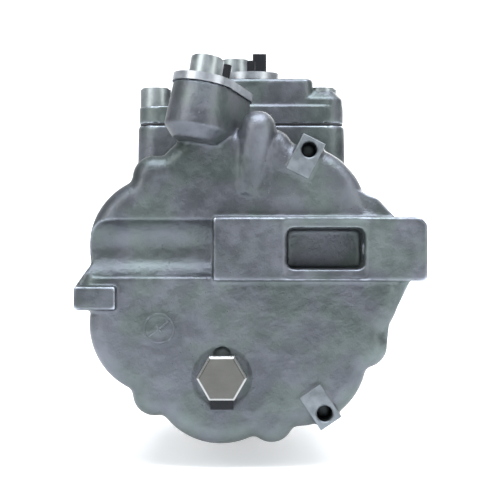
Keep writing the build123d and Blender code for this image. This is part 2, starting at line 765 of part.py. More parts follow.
# ---------------------------------------------------------------- pressure relief valve
relief_plane = Plane(origin=(relief_x, rear_y, relief_z), x_dir=(1, 0, 0), z_dir=(0, -1, 0))
relief_seat = 0.6            # depth of the spot face
relief_seat_radius = 9.0
relief_collar = 1.4
poppet_lift = 1.2
relief_lip = 1.5             # lip at the valve's inner end that the poppet closes
with BuildPart() as relief_valve_body:
    with BuildSketch(relief_plane.offset(-relief_seat)):
        Circle(relief_seat_radius)
    extrude(amount=relief_collar)
    with BuildSketch(relief_plane.offset(relief_collar - relief_seat)):
        RegularPolygon(relief_hex_flats / 2, 6, major_radius=False)
    extrude(amount=relief_hex_height)
    chamfer(relief_valve_body.faces().sort_by(Axis.Y)[0].edges(), 1.1)
    with BuildSketch(relief_plane.offset(-end_wall)):
        Circle(relief_thread_radius)
    extrude(amount=end_wall - relief_seat)
    with BuildSketch(relief_plane.offset(-end_wall + relief_lip)):
        Circle(poppet_radius + running_fit)
    extrude(amount=end_wall + 1.0, mode=Mode.SUBTRACT)
    with BuildSketch(relief_plane.offset(-end_wall)):
        Circle(1.6)
    extrude(amount=relief_lip, mode=Mode.SUBTRACT)
finish(relief_valve_body.part, "relief_valve_body")
with BuildPart() as relief_valve_poppet:
    with BuildSketch(relief_plane.offset(-end_wall + relief_lip)):
        Circle(poppet_radius)
    extrude(amount=poppet_length)
    with BuildSketch(relief_plane.offset(-end_wall + relief_lip + poppet_length)):
        Circle(1.2)
    extrude(amount=2.5)
finish(relief_valve_poppet.part, "relief_valve_poppet")
relief_spring_start = -end_wall + relief_lip + poppet_length + 0.1
relief_spring_length = end_wall + 1.0 - relief_lip - poppet_length - 0.2
relief_valve_spring = coil_spring(relief_plane.offset(relief_spring_start), 2.1, 0.45, relief_spring_length, 5)
finish(relief_valve_spring, "relief_valve_spring")
with BuildPart() as relief_vent_shield:
    with BuildSketch(relief_plane):
        with Locations((0, -(relief_hex_flats / 2 + 2.3))):
            Rectangle(9.8, 4.4)
    extrude(amount=2.4)
finish(relief_vent_shield.part, "relief_vent_shield")

# ---------------------------------------------------------------- control valve
control_mouth = Plane(origin=(control_x, neck_front_y, control_z), x_dir=(1, 0, 0), z_dir=(0, 1, 0))
plunger_radius = 2.0
with BuildPart() as control_valve_body:
    with BuildSketch(control_mouth.offset(-control_bore_length + 1.0)):
        Circle(control_bore_radius - 2.0)
    extrude(amount=9.0)
    with BuildSketch(control_mouth.offset(-control_bore_length + 10.0)):
        Circle(control_bore_radius - running_fit)
    extrude(amount=control_bore_length - 10.0 + piece_gap)
    with BuildSketch(control_mouth.offset(piece_gap)):
        Circle(solenoid_radius)
    extrude(amount=solenoid_length)
    fillet(control_valve_body.faces().sort_by(Axis.Y)[-1].edges(), 1.5)
    with BuildSketch(control_mouth.offset(-control_bore_length + 1.0)):
        Circle(plunger_radius + running_fit)
    extrude(amount=control_bore_length + 8.0, mode=Mode.SUBTRACT)
finish(control_valve_body.part, "control_valve_body")
with BuildPart() as control_valve_plunger:
    with BuildSketch(control_mouth.offset(-control_bore_length + 2.5)):
        Circle(plunger_radius)
    extrude(amount=control_bore_length)
finish(control_valve_plunger.part, "control_valve_plunger")
connector_x = control_x - 1.2
connector_y = neck_front_y + solenoid_length / 2
connector_base_z = control_z + solenoid_radius - 1.0
connector_top_z = 114.0
with BuildPart() as control_valve_connector:
    with BuildSketch(Plane.XY.offset(connector_base_z)):
        with Locations((connector_x, connector_y)):
            RectangleRounded(6.8, 15.4, 1.2)
    extrude(amount=connector_top_z - connector_base_z)
    with BuildSketch(Plane.XY.offset(connector_top_z)):
        with Locations((connector_x, connector_y)):
            RectangleRounded(5.2, 13.6, 0.6)
    extrude(amount=-7.0, mode=Mode.SUBTRACT)
    with BuildSketch(Plane.XY.offset(connector_top_z - 7.0)):
        with Locations((connector_x, connector_y - 3.6), (connector_x, connector_y + 3.6)):
            Rectangle(0.8, 2.2)
    extrude(amount=5.0)
    with Locations(Plane(origin=(control_x, neck_front_y, control_z), z_dir=(0, 1, 0))):
        Cylinder(
            solenoid_radius, 3 * solenoid_length, mode=Mode.SUBTRACT,
            align=(Align.CENTER, Align.CENTER, Align.CENTER),
        )
finish(control_valve_connector.part, "control_valve_connector")

# ---------------------------------------------------------------- shaft and lug plate
thread_depth = 16.0
shaft_tip_y = 16.0
seal_start_y = face_y + 2.0
with BuildPart() as drive_shaft:
    with BuildSketch(Plane.XY):
        with BuildLine():
            Polyline(
                (0, block_front_y - rear_bearing_length - 2.0),
                (rear_journal_radius, block_front_y - rear_bearing_length - 2.0),
                (rear_journal_radius, block_front_y + 1.0),
                (shaft_radius, block_front_y + 2.0),
                (shaft_radius, seal_start_y),
                (seal_journal_radius, seal_start_y),
                (seal_journal_radius, snout_tip_y - 4.0),
                (hub_journal_radius, snout_tip_y - 4.0),
                (hub_journal_radius, shaft_tip_y),
                (0, shaft_tip_y),
                close=True,
            )
        make_face()
    revolve(axis=Axis.Y)
    with BuildSketch(cross_plane(shaft_tip_y)):
        Circle(through_bolt_radius)
    extrude(amount=thread_depth, mode=Mode.SUBTRACT)
    with BuildSketch(cross_plane(block_front_y - rear_bearing_length - 2.0)):
        Circle(2.0)
    extrude(amount=-50.0, mode=Mode.SUBTRACT)
finish(drive_shaft.part, "drive_shaft")

ear_reach = 19.0             # how far the ears stand behind the lug plate
ear_inner_x = 15.0
ear_outer_x = 23.0
ear_inner_z = 12.0
ear_width = 5.0
lug_radius = 34.0
with BuildPart() as lug_plate:
    with BuildSketch(cross_plane(lug_front_y)):
        Circle(lug_radius)
    extrude(amount=lug_plate_width)
    with BuildSketch(cross_plane(lug_rear_y)):
        Circle(12.0)
    extrude(amount=3.0)
    with BuildSketch(cross_plane(lug_rear_y)):
        for side in (-1, 1):
            with Locations(((ear_inner_x + ear_outer_x) / 2, side * (ear_inner_z + ear_width / 2))):
                Rectangle(ear_outer_x - ear_inner_x, ear_width)
    extrude(amount=ear_reach)
    # the ears' guide slots, which slope outwards as the swash plate tilts
    with BuildSketch(Plane.XY.offset(ear_inner_z + ear_width)):
        with Locations(((ear_inner_x + ear_outer_x) / 2, lug_rear_y - ear_reach + 6.0)):
            SlotCenterToCenter(5.0, 3.2, rotation=60)
    extrude(amount=-2 * (ear_inner_z + ear_width), mode=Mode.SUBTRACT)
    with BuildSketch(cross_plane(lug_front_y)):
        Circle(shaft_radius)
    extrude(amount=lug_plate_width + 3.0, mode=Mode.SUBTRACT)
    # pocket opposite the ears, for balance
    with BuildSketch(cross_plane(lug_rear_y)):
        with Locations((24.0, 0)):
            Circle(5.0)
    extrude(amount=-4.0, mode=Mode.SUBTRACT)
finish(lug_plate.part, "lug_plate")

# ---------------------------------------------------------------- swash plate
swash_edge = 8.5             # shoe centres to the plate's edge
swash_radius = pitch_radius + swash_edge
swash_bore = 11.8
arm_inner_x = 18.0
arm_outer_x = 24.0
arm_half_width = 4.0
arm_reach = 17.5
pin_radius = 1.5
pin_y = swash_front_y + arm_reach - 3.2
pin_x = (arm_inner_x + arm_outer_x) / 2
with BuildPart() as swash_plate:
    with BuildSketch(cross_plane(swash_front_y)):
        Circle(swash_radius)
        Circle(swash_bore, mode=Mode.SUBTRACT)
    extrude(amount=swash_width)
    chamfer(swash_plate.edges().filter_by(GeomType.CIRCLE).sort_by(SortBy.RADIUS)[-2:], 0.8)
    with BuildSketch(cross_plane(swash_front_y + arm_reach)):
        with Locations((pin_x, 0)):
            Rectangle(arm_outer_x - arm_inner_x, 2 * arm_half_width)
    extrude(amount=arm_reach)
    with BuildSketch(Plane.XY.offset(arm_half_width)):
        with Locations((pin_x, pin_y)):
            Circle(pin_radius)
    extrude(amount=-2 * arm_half_width, mode=Mode.SUBTRACT)
finish(swash_plate.part, "swash_plate")
with BuildPart() as hinge_pin:
    with BuildSketch(Plane.XY.offset(arm_half_width)):
        with Locations((pin_x, pin_y)):
            Circle(pin_radius)
    extrude(amount=-2 * arm_half_width)
finish(hinge_pin.part, "hinge_pin")
destroke_spring = coil_spring(
    cross_plane(lug_rear_y - 0.1), 13.2, 0.9, hinge_gap - 0.2, 6
)
finish(destroke_spring, "destroke_spring")

# ---------------------------------------------------------------- bearings and shaft seal
def ring(y, width, inner, outer, name):
    with BuildPart() as collar:
        with BuildSketch(cross_plane(y)):
            Circle(outer)
            Circle(inner, mode=Mode.SUBTRACT)
        extrude(amount=width)
        chamfer(collar.edges().filter_by(GeomType.CIRCLE), 0.3)
    finish(collar.part, name)


ring(wall_y + radial_bearing_length + 1.0, radial_bearing_length, shaft_radius + running_fit,
     radial_bearing_radius, "front_radial_bearing")
ring(block_front_y - 1.0, rear_bearing_length, rear_journal_radius + running_fit,
     rear_bearing_radius, "rear_radial_bearing")
ring(wall_y, thrust_bearing_width - 0.05, radial_bearing_radius + 1.0, 25.0, "front_thrust_bearing")
ring(snout_tip_y - 12.0, 9.0, seal_journal_radius + running_fit, radial_bearing_radius, "shaft_seal")
ring(snout_tip_y - 10.6, 1.4, 9.4, radial_bearing_radius, "seal_snap_ring")

# ---------------------------------------------------------------- pistons and shoes
claw_gap = 8.4               # shoe centre to the face of each side of the bridge
shoe_ball_radius = 10.0
shoe_flat_gap = 0.25
claw_front_reach = 13.5
bridge_inner = 12.5
claw_half_width = 7.8
claw_inner_reach = 8.0       # shoe centre to the claw's edge nearest the shaft
bridge_radius = case_lobe_radius - 0.6


def piston(angle):
    """Piston with its crown to the rear and its bridge over the swash plate's edge."""
    axis_x, axis_z = polar_point(pitch_radius, angle)
    outward = (axis_x, 0, axis_z)
    base = Plane(origin=(axis_x, swash_y, axis_z), x_dir=outward, z_dir=(0, -1, 0))
    with BuildPart() as body:
        with BuildSketch(base.offset(claw_rear_reach)):
            Circle(bore_radius - running_fit)
        extrude(amount=crown_reach - claw_rear_reach)
        with BuildSketch(base.offset(claw_rear_reach + 4.0)):
            Circle(bore_radius - 4.5)
        extrude(amount=crown_reach - claw_rear_reach - 9.0, mode=Mode.SUBTRACT)
        with BuildSketch(base.offset(-claw_front_reach)):
            Circle(bridge_radius)
            with Locations(((bridge_radius - claw_inner_reach) / 2, 0)):
                Rectangle(bridge_radius + claw_inner_reach, 2 * claw_half_width, mode=Mode.INTERSECT)
        extrude(amount=claw_front_reach + claw_rear_reach)
        with BuildSketch(base.offset(-claw_gap)):
            with Locations((bridge_inner - 20.0, 0)):
                Rectangle(40.0, 40.0)
        extrude(amount=2 * claw_gap, mode=Mode.SUBTRACT)
        with Locations(base):
            Sphere(shoe_ball_radius + running_fit, mode=Mode.SUBTRACT)
    return body.part


def shoe_pair(angle):
    """The two half balls that hold the swash plate between them."""
    axis_x, axis_z = polar_point(pitch_radius, angle)
    with BuildPart() as shoes:
        with Locations((axis_x, swash_y, axis_z)):
            Sphere(shoe_ball_radius)
        with BuildSketch(cross_plane(swash_y + swash_width / 2 + shoe_flat_gap)):
            with Locations((axis_x, axis_z)):
                Circle(2 * shoe_ball_radius)
        extrude(amount=swash_width + 2 * shoe_flat_gap, mode=Mode.SUBTRACT)
    return shoes.part


for index in range(cylinders):
    finish(piston(index * step_angle), "piston_" + str(index + 1))
    finish(shoe_pair(index * step_angle), "shoe_pair_" + str(index + 1))

# ---------------------------------------------------------------- pulley and its bearing
groove_count = 6
groove_pitch = 3.56
groove_depth = 3.0
half_pulley = pulley_width / 2
rotor_face_y = half_pulley
with BuildPart() as pulley:
    with BuildSketch(Plane.XY):
        with BuildLine():
            Polyline(
                (bearing_outer_radius, -9.0),
                (rotor_inner_radius, -9.0),
                (rotor_inner_radius, rotor_face_y - pulley_web),
                (rotor_outer_radius, rotor_face_y - pulley_web),
                (rotor_outer_radius, -half_pulley),
                (pulley_radius + 1.5, -half_pulley),
                (pulley_radius + 1.5, rotor_face_y - 0.8),
                (pulley_radius + 0.7, rotor_face_y),
                (bearing_outer_radius, rotor_face_y),
                close=True,
            )
        make_face()
        for index in range(groove_count):
            groove_y = (index - (groove_count - 1) / 2) * groove_pitch
            with BuildLine():
                Polyline(
                    (pulley_radius + 1.6, groove_y - groove_pitch / 2 + 0.1),
                    (pulley_radius - groove_depth, groove_y - 0.45),
                    (pulley_radius - groove_depth, groove_y + 0.45),
                    (pulley_radius + 1.6, groove_y + groove_pitch / 2 - 0.1),
                    close=True,
                )
            make_face(mode=Mode.SUBTRACT)
    revolve(axis=Axis.Y)
    # arc slots that steer the magnetic flux through the friction face
    with BuildSketch(cross_plane(rotor_face_y)):
        for slot_radius, slots in ((35.5, 3), (42.5, 4)):
            for index in range(slots):
                start = index * 360.0 / slots + 9.0
                arc = CenterArc((0, 0), slot_radius, start, 360.0 / slots - 18.0, mode=Mode.PRIVATE)
                SlotArc(arc, 2.2)
    extrude(amount=pulley_web, mode=Mode.SUBTRACT)
finish(pulley.part, "pulley")

bearing_front_y = rotor_face_y - pulley_web
bearing_split = 21.5
ring(bearing_front_y, bearing_width, bearing_split + 0.35, bearing_outer_radius, "pulley_bearing_outer")
ring(bearing_front_y, bearing_width, snout_radius, bearing_split, "pulley_bearing_inner")

# ---------------------------------------------------------------- clutch coil
coil_front_y = bearing_front_y - coil_clearance
coil_plate_width = 2.0
with BuildPart() as clutch_coil:
    with BuildSketch(cross_plane(coil_front_y)):
        Circle(rotor_outer_radius - coil_clearance)
        Circle(rotor_inner_radius + coil_clearance, mode=Mode.SUBTRACT)
    extrude(amount=coil_front_y - face_y - coil_plate_width)
    with BuildSketch(cross_plane(face_y + coil_plate_width)):
        Circle(rotor_outer_radius + 1.5)
        Circle(snout_radius + 3.3, mode=Mode.SUBTRACT)
    extrude(amount=coil_plate_width)
    # socket for the coil's plug
    with BuildSketch(cross_plane(face_y + 8.0)):
        with Locations((0, rotor_outer_radius + 4.0)):
            Rectangle(15.0, 11.0)
    extrude(amount=8.0)
    with BuildSketch(Plane.XY.offset(rotor_outer_radius + 9.5)):
        with Locations((0, face_y + 4.0)):
            Rectangle(12.0, 5.2)
    extrude(amount=-6.5, mode=Mode.SUBTRACT)
finish(clutch_coil.part, "clutch_coil")

# snap rings on the snout: one keeps the pulley bearing, the other the coil
with BuildPart() as clutch_snap_rings:
    for y, width, reach in (
        (snout_tip_y, snout_tip_y - bearing_front_y, 2.4),
        (face_y + coil_plate_width + 1.2, 1.2, 5.5),
    ):
        with BuildSketch(cross_plane(y)):
            Circle(snout_radius + reach)
            Circle(snout_radius, mode=Mode.SUBTRACT)
        extrude(amount=width)
finish(clutch_snap_rings.part, "clutch_snap_rings")

# ---------------------------------------------------------------- armature, hub and leaf springs
armature_rear_y = rotor_face_y + air_gap
armature_front_y = armature_rear_y + armature_width
hub_flange_radius = 24.0
hub_boss_radius = 10.0
leaf_width = 0.6
rivet_circle = 35.0
hub_rivet_circle = 18.5
rivet_radius = 2.0
with BuildPart() as armature_plate:
    with BuildSketch(cross_plane(armature_front_y)):
        Circle(rotor_outer_radius)
        Circle(hub_flange_radius + 1.0, mode=Mode.SUBTRACT)
        with PolarLocations(rivet_circle, 3):
            Circle(rivet_radius, mode=Mode.SUBTRACT)
        for index in range(3):
            arc = CenterArc((0, 0), 41.0, index * 120.0 + 15.0, 90.0, mode=Mode.PRIVATE)
            SlotArc(arc, 2.2, mode=Mode.SUBTRACT)
    extrude(amount=armature_width)
finish(armature_plate.part, "armature_plate")
with BuildPart() as armature_hub:
    with BuildSketch(cross_plane(armature_front_y)):
        Circle(hub_flange_radius)
    extrude(amount=armature_width - 1.0)
    with BuildSketch(cross_plane(armature_front_y)):
        Circle(hub_boss_radius)
    extrude(amount=armature_front_y - snout_tip_y + 4.0)
    with BuildSketch(cross_plane(armature_front_y)):
        Circle(hub_journal_radius)
    extrude(amount=armature_front_y - snout_tip_y + 4.0, mode=Mode.SUBTRACT)
    with BuildSketch(cross_plane(armature_front_y)):
        with PolarLocations(hub_rivet_circle, 3, start_angle=60.0):
            Circle(rivet_radius)
    extrude(amount=armature_width - 1.0, mode=Mode.SUBTRACT)
finish(armature_hub.part, "armature_hub")
with BuildPart() as armature_leaf_springs:
    with BuildSketch(cross_plane(armature_front_y + leaf_width)) as leaf_sketch:
        for index in range(3):
            outer = polar_point(rivet_circle, index * 120.0)
            inner = polar_point(hub_rivet_circle, index * 120.0 + 60.0)
            next_outer = polar_point(rivet_circle, index * 120.0 + 120.0)
            with BuildLine():
                leaf = Polyline(outer, inner, next_outer)
            trace(leaf, line_width=7.5)
            with Locations(outer):
                Circle(5.0)
            with Locations(inner):
                Circle(5.0)
        with PolarLocations(rivet_circle, 3):
            Circle(rivet_radius, mode=Mode.SUBTRACT)
        with PolarLocations(hub_rivet_circle, 3, start_angle=60.0):
            Circle(rivet_radius, mode=Mode.SUBTRACT)
    extrude(amount=leaf_width)
finish(armature_leaf_springs.part, "armature_leaf_springs")
for circle, start, length, name in (
    (rivet_circle, 0.0, armature_width, "armature_rivets"),
    (hub_rivet_circle, 60.0, armature_width - 1.0, "hub_rivets"),
):
    with BuildPart() as rivets:
        with BuildSketch(cross_plane(armature_front_y + leaf_width + 1.6)):
            with PolarLocations(circle, 3, start_angle=start):
                Circle(3.6)
        extrude(amount=1.6)
        with BuildSketch(cross_plane(armature_front_y + leaf_width)):
            with PolarLocations(circle, 3, start_angle=start):
                Circle(rivet_radius)
        extrude(amount=length + leaf_width)
    finish(rivets.part, name)

hub_bolt_head = 5.0
hub_bolt_flange = 1.6
with BuildPart() as hub_bolt:
    with BuildSketch(cross_plane(armature_front_y + hub_bolt_flange)):
        Circle(hub_boss_radius - 1.0)
    extrude(amount=hub_bolt_flange)
    with BuildSketch(cross_plane(armature_front_y + hub_bolt_flange + hub_bolt_head)):
        RegularPolygon(5.0, 6, major_radius=False)
    extrude(amount=hub_bolt_head)
    with BuildSketch(cross_plane(armature_front_y)):
        Circle(through_bolt_radius)
    extrude(amount=armature_front_y - shaft_tip_y + thread_depth - 2.0)
finish(hub_bolt.part, "hub_bolt")

# screw that holds the reeds and their stop to the valve plate
with BuildPart() as reed_screw:
    with BuildSketch(cross_plane(reed_y)):
        Circle(centre_screw_radius)
    extrude(amount=reed_y - head_y)
    with BuildSketch(cross_plane(head_y)):
        RegularPolygon(5.0, 6, major_radius=False)
    extrude(amount=4.5)
finish(reed_screw.part, "reed_screw")
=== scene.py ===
# %% [markdown]
# # A car air-conditioning compressor, finished in Blender
#
# The mechanical model already exists: it was drawn in CAD, with every casting, bearing, reed and
# screw as its own part. This lesson loads that model as a frame, softens the castings as a foundry
# would leave them, models the small pieces that the CAD keeps simple, and gives each part the
# finish of its real metal, rubber or plastic.

# %% Load the frame
import json
import math

import bpy
from mathutils import Matrix, Vector


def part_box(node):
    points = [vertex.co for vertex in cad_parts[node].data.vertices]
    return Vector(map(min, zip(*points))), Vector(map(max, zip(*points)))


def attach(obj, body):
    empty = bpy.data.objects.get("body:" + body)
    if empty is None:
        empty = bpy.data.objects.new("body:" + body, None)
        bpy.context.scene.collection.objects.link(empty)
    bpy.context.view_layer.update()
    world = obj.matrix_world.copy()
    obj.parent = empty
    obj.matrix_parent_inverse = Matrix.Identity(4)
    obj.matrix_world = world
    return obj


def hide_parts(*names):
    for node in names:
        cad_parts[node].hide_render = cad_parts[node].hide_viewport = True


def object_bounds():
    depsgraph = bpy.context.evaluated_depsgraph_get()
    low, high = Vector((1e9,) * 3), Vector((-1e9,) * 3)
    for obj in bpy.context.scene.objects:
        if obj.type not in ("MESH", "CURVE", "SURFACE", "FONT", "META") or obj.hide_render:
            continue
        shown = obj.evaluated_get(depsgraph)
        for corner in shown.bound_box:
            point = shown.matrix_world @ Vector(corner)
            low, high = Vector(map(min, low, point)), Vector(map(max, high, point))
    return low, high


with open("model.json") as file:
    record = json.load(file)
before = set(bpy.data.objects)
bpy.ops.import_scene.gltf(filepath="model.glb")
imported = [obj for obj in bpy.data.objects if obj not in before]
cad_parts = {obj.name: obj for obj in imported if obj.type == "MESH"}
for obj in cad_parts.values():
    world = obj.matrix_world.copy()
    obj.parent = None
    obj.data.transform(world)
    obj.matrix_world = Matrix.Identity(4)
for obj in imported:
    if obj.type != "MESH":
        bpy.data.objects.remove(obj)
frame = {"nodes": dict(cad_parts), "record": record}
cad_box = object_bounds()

nodes = frame["nodes"]
MM = 0.001
print("parts from the CAD:", len(nodes))
print("CAD box in mm:", [[round(c / MM, 1) for c in corner] for corner in cad_box])

# %% [markdown]
# ## Camera
#
# The compressor is looked at from behind, level with its mounting block, from about 60 cm away.
# A long lens keeps the perspective gentle, so the round rear housing hides most of what is in
# front of it and only the top cover looks over its rim.

# %% Camera behind the rear housing
REAR_FACE_Y = -186.0 * MM
CAMERA_DISTANCE = 0.6
VIEW_WIDTH = 212.8 * MM
VIEW_X, VIEW_Z = 4.0 * MM, 15.3 * MM
lens_data = bpy.data.cameras.new("rear_view")
lens_data.sensor_width = 36.0
lens_data.lens = lens_data.sensor_width * CAMERA_DISTANCE / VIEW_WIDTH
camera = bpy.data.objects.new("rear_view", lens_data)
camera.location = (VIEW_X, REAR_FACE_Y - CAMERA_DISTANCE, VIEW_Z)
camera.rotation_euler = (math.radians(90), 0, 0)
bpy.context.scene.collection.objects.link(camera)
bpy.context.scene.camera = camera
print("lens in mm:", round(lens_data.lens, 1))

# %% [markdown]
# ## Floor, backdrop and light
#
# A product picture is taken on a sweep: white card that runs along the table and curves up behind
# the object, so there is no horizon. It is a plane whose far edge is extruded back and up, with
# the corner rounded by a bevel. Big soft lamps make the long highlights that cast metal needs.

# %% Sweep
def activate(thing):
    """Leaves one object selected and active, because operators act on the whole selection."""
    bpy.ops.object.select_all(action="DESELECT")
    thing.select_set(True)
    bpy.context.view_layer.objects.active = thing


def apply_all(thing):
    """Applies every modifier of an object in order."""
    activate(thing)
    for modifier in list(thing.modifiers):
        bpy.ops.object.modifier_apply(modifier=modifier.name)


floor_z = cad_box[0].z - 0.3 * MM
bpy.ops.mesh.primitive_plane_add(size=4.0, location=(0, -0.4, floor_z))
sweep = bpy.context.object
sweep.name = "sweep"
bpy.ops.object.mode_set(mode="EDIT")
bpy.ops.mesh.select_all(action="DESELECT")
bpy.ops.object.mode_set(mode="OBJECT")
for edge in sweep.data.edges:
    edge.select = all(sweep.data.vertices[v].co.y > 1.9 for v in edge.vertices)
bpy.ops.object.mode_set(mode="EDIT")
bpy.ops.mesh.select_mode(type="EDGE")
bpy.ops.mesh.extrude_region_move(TRANSFORM_OT_translate={"value": (0, 0, 3.0)})
bpy.ops.object.mode_set(mode="OBJECT")
round_corner = sweep.modifiers.new("corner", "BEVEL")
round_corner.width = 0.8
round_corner.segments = 16
apply_all(sweep)
bpy.ops.object.shade_smooth()
print("floor height in mm:", round(floor_z / MM, 1))

# %% [markdown]
# ## Lamps
#
# Bare metal shows the lamps themselves, so they are large rectangles. The one overhead is slightly
# blue, like a skylight, and paints the tops of the lobes. The others are nearly white and fill the
# faces from the left, the right and the pulley end.

# %% Lamps
SKYLIGHT, WARM_WHITE = (0.86, 0.91, 1.0), (1.0, 1.0, 0.96)
LAMPS = (
    # name, place, aim, width, height, watts
    ("overhead", (0.05, -0.42, 0.85), (0.0, -0.12, 0.02), 1.1, 0.7, 21.0),
    ("key_left", (-0.9, -1.0, 0.55), (0.0, -0.15, 0.0), 0.6, 0.6, 6.0),
    ("fill_right", (1.0, -0.9, 0.25), (0.0, -0.15, 0.0), 0.5, 0.9, 4.0),
    ("front_end", (0.5, 1.1, 0.6), (0.0, 0.0, 0.0), 0.8, 0.8, 9.0),
)
for name, place, aim, width, height, watts in LAMPS:
    lamp_data = bpy.data.lights.new(name, "AREA")
    lamp_data.shape = "RECTANGLE"
    lamp_data.size = width
    lamp_data.size_y = height
    lamp_data.energy = watts
    lamp_data.color = SKYLIGHT if name == "overhead" else WARM_WHITE
    lamp = bpy.data.objects.new(name, lamp_data)
    lamp.location = place
    lamp.rotation_euler = (Vector(aim) - Vector(place)).to_track_quat("-Z", "Y").to_euler()
    bpy.context.scene.collection.objects.link(lamp)
studio = bpy.data.worlds.new("studio")
studio.use_nodes = True
studio.node_tree.nodes["Background"].inputs["Color"].default_value = (0.96, 0.98, 1.0, 1.0)
studio.node_tree.nodes["Background"].inputs["Strength"].default_value = 0.5
bpy.context.scene.world = studio
bpy.context.scene.view_settings.view_transform = "Standard"
print("lamps:", len(LAMPS))

# %% [markdown]
# ## A small language for finishes
#
# A finish is a tree of shader nodes. Written one call at a time it is hard to read, so one class
# wraps a socket and lets Python's own operators add the Math nodes: `0.4 + 0.2 * grain` is a
# roughness that follows the grain. Any other node comes from a single method, `add`.

# %% Sockets that can be added and multiplied
class Socket:
    """An output of a shader node. Arithmetic on it adds Math nodes behind it."""

    def __init__(self, finish, link):
        self.finish = finish
        self.link = link

    def math(self, operation, first, second=None):
        values = {0: first} if second is None else {0: first, 1: second}
        return self.finish.add("ShaderNodeMath", {"operation": operation}, values)

    def __add__(self, other):
        return self.math("ADD", self, other)

    __radd__ = __add__

    def __sub__(self, other):
        return self.math("SUBTRACT", self, other)

    def __rsub__(self, other):
        return self.math("SUBTRACT", other, self)

    def __mul__(self, other):
        return self.math("MULTIPLY", self, other)

    __rmul__ = __mul__

    def __pow__(self, other):
        return self.math("POWER", self, other)

    def ramp(self, low, high):
        """0 below low, 1 above high and smooth between them."""
        settings = {"interpolation_type": "SMOOTHSTEP"}
        return self.finish.add("ShaderNodeMapRange", settings, {0: self, 1: low, 2: high})


class Finish:
    """A material under construction, with its shader and its place on the object."""

    def __init__(self, name, **constants):
        self.material = bpy.data.materials.new(name)
        self.material.use_nodes = True
        self.tree = self.material.node_tree
        self.shader = self.tree.nodes["Principled BSDF"]
        self.place = self.add("ShaderNodeTexCoord", {}, {}, "Object")
        for socket, value in constants.items():
            self.shader.inputs[socket.replace("_", " ")].default_value = value

    def add(self, kind, settings, values, output=0):
        node = self.tree.nodes.new(kind)
        for key, value in settings.items():
            setattr(node, key, value)
        for key, value in values.items():
            if isinstance(value, Socket):
                self.tree.links.new(value.link, node.inputs[key])
            else:
                node.inputs[key].default_value = value
        return Socket(self, node.outputs[output])

    def noise(self, size, detail=3.0, stretch=(1, 1, 1), roughness=0.55):
        """Cloudy pattern whose patches are about size metres across."""
        scale = tuple(part / size for part in stretch)
        place = self.add("ShaderNodeMapping", {}, {"Vector": self.place, "Scale": scale})
        values = {"Vector": place, "Scale": 1.0, "Detail": detail, "Roughness": roughness}
        return self.add("ShaderNodeTexNoise", {}, values)

    def cells(self, size):
        """Distance to the nearest of many points about size metres apart."""
        place = self.add("ShaderNodeMapping", {}, {"Vector": self.place, "Scale": (1 / size,) * 3})
        return self.add("ShaderNodeTexVoronoi", {"feature": "F1"}, {"Vector": place, "Scale": 1.0})

    def rings(self, size):
        """Fine turning marks, size metres apart, about the shaft's axis."""
        settings = {"wave_type": "RINGS", "rings_direction": "Y"}
        values = {"Vector": self.place, "Scale": 0.314 / size, "Distortion": 0.3, "Detail": 2.0}
        return self.add("ShaderNodeTexWave", settings, values)

    def along(self, axis):
        """The place along one axis, in metres: 0, 1 or 2 for x, y or z."""
        return self.add("ShaderNodeSeparateXYZ", {}, {0: self.place}, axis)

    def from_shaft(self):
        """Distance from the shaft's axis, in metres."""
        return (self.along(0) ** 2 + self.along(2) ** 2) ** 0.5

    def edges(self):
        """Above 0.5 on edges that stand out and below it in hollows."""
        return self.add("ShaderNodeNewGeometry", {}, {}, "Pointiness")

    def mix(self, factor, first, second):
        """Colour that goes from first to second as factor goes from 0 to 1."""
        return self.add("ShaderNodeMix", {"data_type": "RGBA"}, {0: factor, 6: first, 7: second}, 2)

    def out(self, socket, value):
        """Feeds a value or a colour to the shader."""
        self.tree.links.new(value.link, self.shader.inputs[socket])

    def bump(self, height, depth, under=None):
        """Relief depth metres high that follows height. Another relief may lie under it."""
        values = {"Height": height, "Distance": depth, "Strength": 1.0}
        if under is not None:
            values["Normal"] = under
        return self.add("ShaderNodeBump", {}, values)


def tone(red, green, blue):
    return (red, green, blue, 1.0)


card = Finish("white_card", Roughness=0.9, Emission_Strength=0.42)
paper = card.noise(0.3)
card.out("Base Color", card.mix(paper, tone(0.88, 0.89, 0.9), tone(0.92, 0.93, 0.94)))
card.shader.inputs["Emission Color"].default_value = tone(0.97, 0.98, 1.0)
sweep.data.materials.append(card.material)
print("finishes start with", card.material.name)

# %% [markdown]
# ## Cast aluminium
#
# The housings are pressure die castings. Their skin is grey and slightly mottled, with cloudy flow
# marks where the metal ran together and tiny pits. Edges are lightened to a bluish white, partly
# where handling has rubbed the skin off and partly as a painted highlight, and hollows are darkened
# with painted shade and grime. Four patterns at different sizes make the skin: broad clouds,
# blotches, fine grain and pits.

# %% Cast aluminium
GREEN_CAST, LILAC_CAST = tone(0.92, 0.98, 0.9), tone(1.02, 0.97, 1.03)


